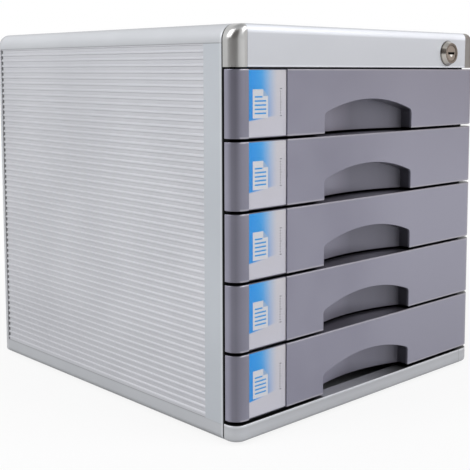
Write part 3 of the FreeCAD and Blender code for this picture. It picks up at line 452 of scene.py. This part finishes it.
def bezel_material():
    """Plating with a painted dark line of shade where the bezel meets the fascia."""
    material, t = new_material("bezel_plating")
    vector, x, _, z = t.place()
    ripple = t.noise(vector, 160.0, 2.0, 0.5)
    paint = t.mix(ripple, (0.47, 0.445, 0.41), (0.51, 0.485, 0.45))
    # Painted shade: a dark line round the base of the bezel
    base = t.step(lock_radius(t, x, z), 10.3 * MM, 10.9 * MM)
    paint = t.mix(t.product(base, 0.8), paint, (0.07, 0.065, 0.06))
    rough = t.blend(ripple, 0.18, 0.24)
    surface(t, paint, rough, t.bump(ripple, 0.05, 0.2 * MM), Metallic=1.0)
    return material


def card_material(k):
    """Printed card: a blue field that fades to pale grey at the right and below."""
    material, t = new_material("card_print_%d" % k)
    vector, x, _, z = t.place()
    low, high = CARDS[k]
    across, up = t.share(x, low.x, high.x), t.share(z, low.z, high.z)
    slant = t.math("MULTIPLY_ADD", across, 0.10, 0.24)
    above = t.step(t.math("SUBTRACT", up, slant), -0.015, 0.015)
    field = t.product(t.step(across, 0.80, 0.30), above)
    blue = t.mix(t.step(across, 0.05, 0.62), (0.002, 0.350, 0.95), (0.090, 0.480, 0.94))
    blue = t.mix(t.step(up, 1.0, 0.35), blue, (0.008, 0.310, 0.85))
    pale = t.mix(up, (0.67, 0.66, 0.74), (0.71, 0.69, 0.73))
    fibre = t.noise(vector, 3200.0, 3.0, 0.6)
    paint = t.mix(t.product(fibre, 0.04), t.mix(field, pale, blue), (0.45, 0.46, 0.50))
    surface(t, paint, t.blend(fibre, 0.60, 0.72), t.bump(fibre, 0.15, 0.03 * MM))
    return material


def print_material(name, colour):
    """Ink or other thin flat colour, with the fibre of the card in it."""
    material, t = new_material(name)
    vector, _, _, _ = t.place()
    fibre = t.noise(vector, 3200.0, 3.0, 0.6)
    paint = t.mix(t.product(fibre, 0.12), colour, tuple(0.8 * c for c in colour))
    surface(t, paint, t.blend(fibre, 0.48, 0.60), t.bump(fibre, 0.12, 0.02 * MM))
    return material


def window_material():
    """Clear sheet with faint scuffs."""
    material, t = new_material("clear_window_sheet")
    vector, _, _, _ = t.place()
    scuff = t.noise(vector, 900.0, 4.0, 0.7, (1.0, 1.0, 0.08))
    rough = t.blend(t.step(scuff, 0.55, 0.8), 0.05, 0.22)
    paint = t.mix(scuff, (0.08, 0.09, 0.10), (0.13, 0.14, 0.15))
    surface(t, paint, rough, t.bump(scuff, 0.03, 0.02 * MM), Alpha=0.07)
    return material


def rubber_material():
    """Dull grained rubber."""
    material, t = new_material("foot_rubber_skin")
    vector, _, _, _ = t.place()
    grain = t.noise(vector, 1800.0, 3.0, 0.6)
    paint = t.mix(grain, (0.030, 0.030, 0.032), (0.060, 0.060, 0.064))
    surface(t, paint, t.blend(grain, 0.75, 0.92), t.bump(grain, 0.4, 0.08 * MM))
    return material


SILVER = ((0.590, 0.605, 0.635), (0.545, 0.560, 0.590))

MATERIALS = {
    "cover_aluminium": brushed_metal("cover_silver", *SILVER, "y", tone_rule=cover_tone),
    "ribbed_aluminium": brushed_metal("panel_silver", *SILVER, "y", tone_rule=panel_tone),
    "silver_plastic": moulded_plastic(
        "ring_silver", (0.51, 0.517, 0.540), (0.47, 0.477, 0.500), 0.48, metallic=0.15
    ),
    "back_sheet_metal": moulded_plastic(
        "back_paint", (0.44, 0.45, 0.475), (0.40, 0.41, 0.435), 0.50, 0.5, 1100.0
    ),
    "screw_steel": brushed_metal(
        "screw_zinc", (0.52, 0.52, 0.54), (0.40, 0.40, 0.42), "x", 0.30, 1.0
    ),
    "foot_rubber": rubber_material(),
    "fascia_aluminium": brushed_metal(
        "fascia_silver", (0.57, 0.585, 0.625), (0.54, 0.555, 0.595), "x", 0.40, 0.25,
        tone_rule=fascia_tone,
    ),
    "lip_aluminium": brushed_metal(
        "lip_silver", (0.49, 0.50, 0.525), (0.46, 0.47, 0.495), "x", 0.40, tone_rule=lip_tone
    ),
    "cap_chrome": chrome_material("cap_plating", (0.500, 0.500, 0.496), 0.29),
    "runner_plastic": moulded_plastic(
        "runner_grey", (0.055, 0.055, 0.060), (0.040, 0.040, 0.044), 0.55
    ),
    "lock_chrome": bezel_material(),
    "lock_brass": turned_metal("housing_brass", (0.62, 0.50, 0.27), (0.50, 0.39, 0.20)),
    "plug_nickel": turned_metal(
        "plug_nickel_face", (0.46, 0.40, 0.35), (0.36, 0.31, 0.27), 0.32, PLUG_FACE
    ),
    "bar_steel": brushed_metal(
        "bar_zinc", (0.50, 0.51, 0.53), (0.38, 0.39, 0.41), "z", 0.32, 1.0
    ),
    "drawer_front_plastic": drawer_front_material(),
    "drawer_tray_plastic": moulded_plastic(
        "tray_grey", (0.150, 0.148, 0.185), (0.125, 0.123, 0.155), 0.45
    ),
    "clear_window": window_material(),
}
CARD_PRINTS = {k: card_material(k) for k in DRAWERS}
WHITE_INK = print_material("white_ink", (0.78, 0.79, 0.83))
BLUE_INK = print_material("blue_ink", (0.01, 0.34, 0.86))
SOFT_INK = print_material("soft_blue_ink", (0.36, 0.52, 0.76))
DARK_INK = print_material("dark_ink", (0.10, 0.10, 0.12))
RECESS_SHADE = print_material("recess_shade", (0.035, 0.035, 0.038))
# Painted highlight under the key slot
KEY_HIGHLIGHT_PAINT = print_material("key_highlight_paint", (0.90, 0.88, 0.85))

for part in frame["record"]["subparts"]:
    node = NODES[part["node"]]
    if part["material_slot"] == "card_paper":
        finish = CARD_PRINTS[int(part["node"].rsplit("_", 1)[1])]
    else:
        finish = MATERIALS[part["material_slot"]]
    for holder in node.material_slots:
        holder.material = finish
    if not node.material_slots:
        node.data.materials.append(finish)


# Pieces

def add_piece(name, bm, body, materials):
    """Turn a finished bmesh into a piece that rides on a body."""
    bmesh.ops.recalc_face_normals(bm, faces=bm.faces)
    mesh = bpy.data.meshes.new(name)
    bm.to_mesh(mesh)
    bm.free()
    for material in materials:
        mesh.materials.append(material)
    piece = bpy.data.objects.new(name, mesh)
    bpy.context.scene.collection.objects.link(piece)
    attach(piece, body)


def prism(bm, points, near, far, material=0):
    """Flat shape in x and z, pushed from y near to y far."""
    front = [bm.verts.new((x, near, z)) for x, z in points]
    back = [bm.verts.new((x, far, z)) for x, z in points]
    faces = [bm.faces.new(front), bm.faces.new(list(reversed(back)))]
    count = len(points)
    for i in range(count):
        j = (i + 1) % count
        faces.append(bm.faces.new((front[i], back[i], back[j], front[j])))
    for face in faces:
        face.material_index = material


def rectangle(x, z, width, height):
    return [(x, z), (x + width, z), (x + width, z + height), (x, z + height)]


def label_print(k):
    """Sheet of paper with a folded corner, ruled lines and a row of index ticks, on the card."""
    white, blue, soft, dark = range(4)
    low, high = CARDS[k]
    near, far = low.y - INK_THICK, low.y
    over = near - OVERPRINT_THICK
    left, base = low.x + PAGE_PLACE[0], low.z + PAGE_PLACE[1]
    right, top = left + PAGE_SIZE[0], base + PAGE_SIZE[1]
    folded = [(right, top - PAGE_FOLD), (right - PAGE_FOLD, top)]
    bm = bmesh.new()
    prism(bm, [(left, base), (right, base), *folded, (left, top)], near, far, white)
    prism(bm, [(right - PAGE_FOLD, top - PAGE_FOLD), *folded], over, near, soft)
    for row in range(LINE_COUNT):
        share = TOP_LINE_SHARE if row == LINE_COUNT - 1 else LINE_SHARE
        place = (left + LINE_INSET, base + (row + 1) * LINE_STEP)
        prism(bm, rectangle(*place, PAGE_SIZE[0] * share, LINE_THICK), over, near, blue)
    for row in range(TICK_COUNT):
        length = TICK_SHORT if row % TICKS_PER_LONG else TICK_LONG
        place = (high.x - TICK_INSET, base + TICK_BASE + row * TICK_STEP)
        prism(bm, rectangle(*place, length, TICK_THICK), near, far, dark)
    inks = [WHITE_INK, BLUE_INK, SOFT_INK, DARK_INK]
    add_piece("label_print_%d" % k, bm, "drawer_%d" % k, inks)


def solid_boxes(node):
    """Boxes of the separate solids in one node, sorted."""
    bm = bmesh.new()
    bm.from_mesh(node.data)
    bm.transform(node.matrix_world)
    bmesh.ops.remove_doubles(bm, verts=bm.verts, dist=0.001 * MM)
    waiting = set(bm.verts)
    boxes = []
    while waiting:
        ends, found = [waiting.pop()], []
        while ends:
            vertex = ends.pop()
            found.append(vertex.co.copy())
            for edge in vertex.link_edges:
                other = edge.other_vert(vertex)
                if other in waiting:
                    waiting.remove(other)
                    ends.append(other)
        sides = list(zip(*found))
        boxes.append(([min(side) for side in sides], [max(side) for side in sides]))
    bm.free()
    return sorted(boxes)


def cross_outline(x, z, arm, half):
    """Corners of an upright cross round a centre, from arm length and half the bars' width."""
    points, corner = [], [(arm, -half), (arm, half), (half, half)]
    for _ in range(4):
        points += [(x + across, z + up) for across, up in corner]
        corner = [(-up, across) for across, up in corner]
    return points


def screw_recess_shades(name, node, body):
    """Dark cross of painted shade for the cross recess on the head of every screw in one node.
    The heads look along y.
    """
    bm = bmesh.new()
    for low, high in solid_boxes(NODES[node]):
        x, z = (low[0] + high[0]) / 2, (low[2] + high[2]) / 2
        cross = cross_outline(x, z, CROSS_ARM, CROSS_HALF)
        # Dark cross of painted shade in the head's recess
        prism(bm, cross, high[1] - CROSS_SUNK, high[1] + CROSS_PROUD)
    add_piece(name, bm, body, [RECESS_SHADE])


def key_slot_highlight():
    """Painted highlight under the key slot, on the face of the plug: half an ellipse."""
    x, z = LOCK_CENTRE[0], LOCK_CENTRE[1] - RIM_DROP
    turns = [math.pi * (1.0 + i / RIM_STEPS) for i in range(RIM_STEPS + 1)]
    points = [(x + RIM_WIDE * math.cos(a), z + RIM_DEEP * math.sin(a)) for a in turns]
    bm = bmesh.new()
    prism(bm, points, PLUG_FACE - RIM_PROUD, PLUG_FACE + RIM_SUNK)
    add_piece("key_slot_highlight", bm, "lock_plug", [KEY_HIGHLIGHT_PAINT])


for k in DRAWERS:
    label_print(k)
    screw_recess_shades("front_recess_shades_%d" % k, "front_screws_%d" % k, "drawer_%d" % k)
screw_recess_shades("back_recess_shades", "back_screws", "case")
key_slot_highlight()


# Stage, light and camera

def stage_floor():
    """White floor that keeps the object's shadow and goes to plain white away from it."""
    mesh = bpy.data.meshes.new("studio_floor")
    bm = bmesh.new()
    bmesh.ops.create_grid(bm, x_segments=1, y_segments=1, size=FLOOR_REACH)
    bm.to_mesh(mesh)
    bm.free()
    floor = bpy.data.objects.new("studio_floor", mesh)
    bpy.context.scene.collection.objects.link(floor)
    material, t = new_material("floor_white")
    path = t.node("LightPath").outputs
    seen = t.product(path["Is Glossy Ray"], 0.35)
    seen = t.math("MAXIMUM", seen, path["Is Camera Ray"])
    seen = t.math("MAXIMUM", seen, path["Is Transmission Ray"])
    matt = t.node("BsdfDiffuse", {"Color": grey(0.80)})
    glow = t.node("Emission", {"Color": grey(1.0), "Strength": 1.0})
    _, x, y, _ = t.place()
    share = t.product(seen, t.step(t.length(x, y), *FLOOR_FADE, FLOOR_GLOW, 1.0))
    mixed = t.node("MixShader", {0: share, 1: matt.outputs[0], 2: glow.outputs[0]})
    t.node("OutputMaterial", {0: mixed.outputs[0]})
    mesh.materials.append(material)


def studio_world():
    """White room. Shiny surfaces also see its dim ceiling and its dark gaps."""
    world = bpy.data.worlds.new("studio")
    bpy.context.scene.world = world
    world.use_nodes = True
    t = Tree(world.node_tree)
    direction = t.node("TexCoord").outputs["Generated"]
    east, north, up = t.node("SeparateXYZ", {0: direction}).outputs
    flat = t.node("CombineXYZ", {0: east, 1: north}).outputs[0]
    flat = t.node("VectorMath", {0: flat}, operation="NORMALIZE").outputs[0]

    def gap(azimuth, half, ease, top):
        """1 inside an upright opening round one azimuth, up to a height."""
        turn = math.radians(azimuth)
        inputs = {0: flat, 1: (math.cos(turn), math.sin(turn), 0.0)}
        facing = t.node("VectorMath", inputs, operation="DOT_PRODUCT").outputs["Value"]
        ends = [math.cos(math.radians(half + sign * ease)) for sign in (1, -1)]
        return t.product(t.step(facing, *ends), t.band(up, -0.7, top, 0.25))

    ceiling = t.step(up, 0.72, 0.97)
    room = t.mix(t.product(ceiling, 0.55), grey(1.0), (0.30, 0.31, 0.33))
    for *opening, colour in ROOM_GAPS:
        room = t.mix(gap(*opening), room, colour)
    path = t.node("LightPath").outputs
    shine = t.node("Background", {"Color": room, "Strength": 1.0})
    soft = t.node("Background", {"Color": grey(1.0), "Strength": 0.55})
    plain = t.node("Background", {"Color": grey(1.0), "Strength": 1.0})
    lit = {0: path["Is Glossy Ray"], 1: soft.outputs[0], 2: shine.outputs[0]}
    lit = t.node("MixShader", lit)
    bare = t.math("MAXIMUM", path["Is Camera Ray"], path["Is Transmission Ray"])
    final = t.node("MixShader", {0: bare, 1: lit.outputs[0], 2: plain.outputs[0]})
    t.node("OutputWorld", {0: final.outputs[0]})


def softbox(name, place):
    lamp = bpy.data.lights.new(name, "AREA")
    lamp.shape = "RECTANGLE"
    lamp.size = lamp.size_y = SOFTBOX_SIDE
    lamp.energy = SOFTBOX_WATTS
    holder = bpy.data.objects.new(name, lamp)
    bpy.context.scene.collection.objects.link(holder)
    holder.location = place
    aim = Vector(SOFTBOX_TARGET) - Vector(place)
    holder.rotation_euler = aim.to_track_quat("-Z", "Y").to_euler()


stage_floor()
studio_world()
for name, place in SOFTBOXES.items():
    softbox(name, place)

view = bpy.data.cameras.new("camera")
view.sensor_width = CAMERA_SENSOR
view.lens = CAMERA_LENS
view.shift_x, view.shift_y = CAMERA_SHIFT
view.clip_start = 0.01
camera = bpy.data.objects.new("camera", view)
camera.location = CAMERA_PLACE
camera.rotation_euler = (math.radians(CAMERA_TILT), 0.0, math.radians(CAMERA_TURN))
bpy.context.scene.collection.objects.link(camera)
bpy.context.scene.camera = camera
bpy.context.scene.view_settings.view_transform = "Standard"
